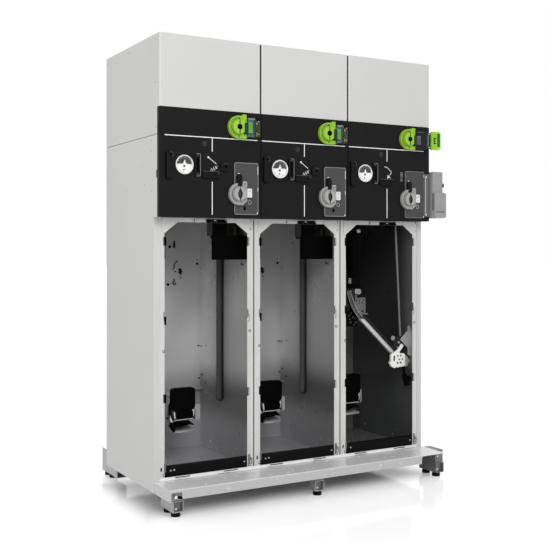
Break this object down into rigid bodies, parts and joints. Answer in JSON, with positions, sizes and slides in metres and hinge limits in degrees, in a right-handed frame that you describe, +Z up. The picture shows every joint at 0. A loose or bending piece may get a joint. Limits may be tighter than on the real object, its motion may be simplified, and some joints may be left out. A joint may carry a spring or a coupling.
{
  "type": "ring main unit",
  "caption": "Row of medium-voltage switchgear cubicles on a footed sill: light top covers, black operating fascias with turning switch dials, and open galvanised cable compartments.",
  "frame": {"origin": "on the floor, under the middle of the object's outline", "axes": "+X to the right along the front, +Y from the front to the back, +Z up"},
  "size_m": [1.2204, 0.766, 1.635],
  "materials": {
    "galvanised": "galvanised, slightly mottled",
    "dark_steel": "dark satin",
    "olive_resin": "cast resin, olive black",
    "pad_rubber": "matte",
    "compartment_sheet": "rolled sheet, glossy",
    "tank_steel": "satin",
    "panel_paint": "light grey powder coat",
    "cover_paint": "light grey powder coat",
    "threshold_black": "satin black",
    "fascia_black": "fine matte black",
    "fitting_black": "matte black",
    "gauge_metal": "polished",
    "dial_green": "moulded lime green",
    "rotor_green": "moulded lime green",
    "window_plastic": "smoked clear",
    "indicator_green": "moulded green",
    "cap_plastic": "moulded",
    "plate_grey": "dark grey",
    "dial_grey": "moulded light grey",
    "rotor_grey": "moulded light grey",
    "post_white": "moulded white",
    "moulding_black": "moulded black",
    "bright_steel": "polished",
    "dull_steel": "dull zinc",
    "cast_white": "white cast",
    "control_grey": "moulded grey"
  },
  "bodies": {
    "cabinet": {"base_long_rails": "galvanised", "base_cross_rails": "galvanised", "sill": "galvanised", "feet": "galvanised", "foot_pads": "pad_rubber", "partition_walls": "compartment_sheet", "compartment_floors": "compartment_sheet", "compartment_backs": "compartment_sheet", "gas_tanks": "tank_steel", "side_panels_lower": "panel_paint", "side_panels_upper": "panel_paint", "roof_panels": "panel_paint", "back_panels": "panel_paint", "door_stiles": "galvanised", "door_top_rails": "galvanised", "door_catches": "dark_steel", "corner_gussets": "galvanised", "threshold_bars": "threshold_black", "top_covers": "cover_paint", "fascias": "fascia_black", "fascia_fittings": "fitting_black", "pressure_gauges": "gauge_metal", "line_dials": "dial_green", "indicator_windows": "window_plastic", "indicator_blocks": "indicator_green", "indicator_caps": "cap_plastic", "interlock_cover": "fitting_black", "mechanism_plates": "plate_grey", "earth_dials": "dial_grey", "padlock_posts": "post_white", "bushing_covers": "moulding_black", "cable_posts": "dark_steel", "bushing_blocks": "olive_resin", "drive_rods": "dull_steel", "cable_rails": "galvanised", "clamp_blocks": "moulding_black", "clamp_brackets": "galvanised", "earthing_arm": "bright_steel", "earthing_clamp": "cast_white", "earthing_brackets": "dull_steel", "earthing_crank": "dark_steel", "earthing_handle": "moulding_black", "control_box": "control_grey", "control_box_knob": "moulding_black", "control_box_bracket": "dull_steel"},
    "line_rotor_1_body": {"line_rotor_1": "rotor_green"},
    "line_rotor_2_body": {"line_rotor_2": "rotor_green"},
    "line_rotor_3_body": {"line_rotor_3": "rotor_green"},
    "earth_rotor_1_body": {"earth_rotor_1": "rotor_grey"},
    "earth_rotor_2_body": {"earth_rotor_2": "rotor_grey"},
    "earth_rotor_3_body": {"earth_rotor_3": "rotor_grey"}
  },
  "joints": [
    {"name": "line_switch_1", "type": "hinge", "parent": "cabinet", "child": "line_rotor_1_body", "pos_m": [-0.3145, -0.304, 1.332], "axis": [0, 1, 0], "range_deg": [0, 90]},
    {"name": "line_switch_2", "type": "hinge", "parent": "cabinet", "child": "line_rotor_2_body", "pos_m": [0.0605, -0.304, 1.332], "axis": [0, 1, 0], "range_deg": [0, 90]},
    {"name": "line_switch_3", "type": "hinge", "parent": "cabinet", "child": "line_rotor_3_body", "pos_m": [0.4355, -0.304, 1.332], "axis": [0, 1, 0], "range_deg": [0, 90]},
    {"name": "earth_switch_1", "type": "hinge", "parent": "cabinet", "child": "earth_rotor_1_body", "pos_m": [-0.3145, -0.307, 1.096], "axis": [0, 1, 0], "range_deg": [0, 90]},
    {"name": "earth_switch_2", "type": "hinge", "parent": "cabinet", "child": "earth_rotor_2_body", "pos_m": [0.0605, -0.307, 1.096], "axis": [0, 1, 0], "range_deg": [0, 90]},
    {"name": "earth_switch_3", "type": "hinge", "parent": "cabinet", "child": "earth_rotor_3_body", "pos_m": [0.4355, -0.307, 1.096], "axis": [0, 1, 0], "range_deg": [0, 90]}
  ]
}
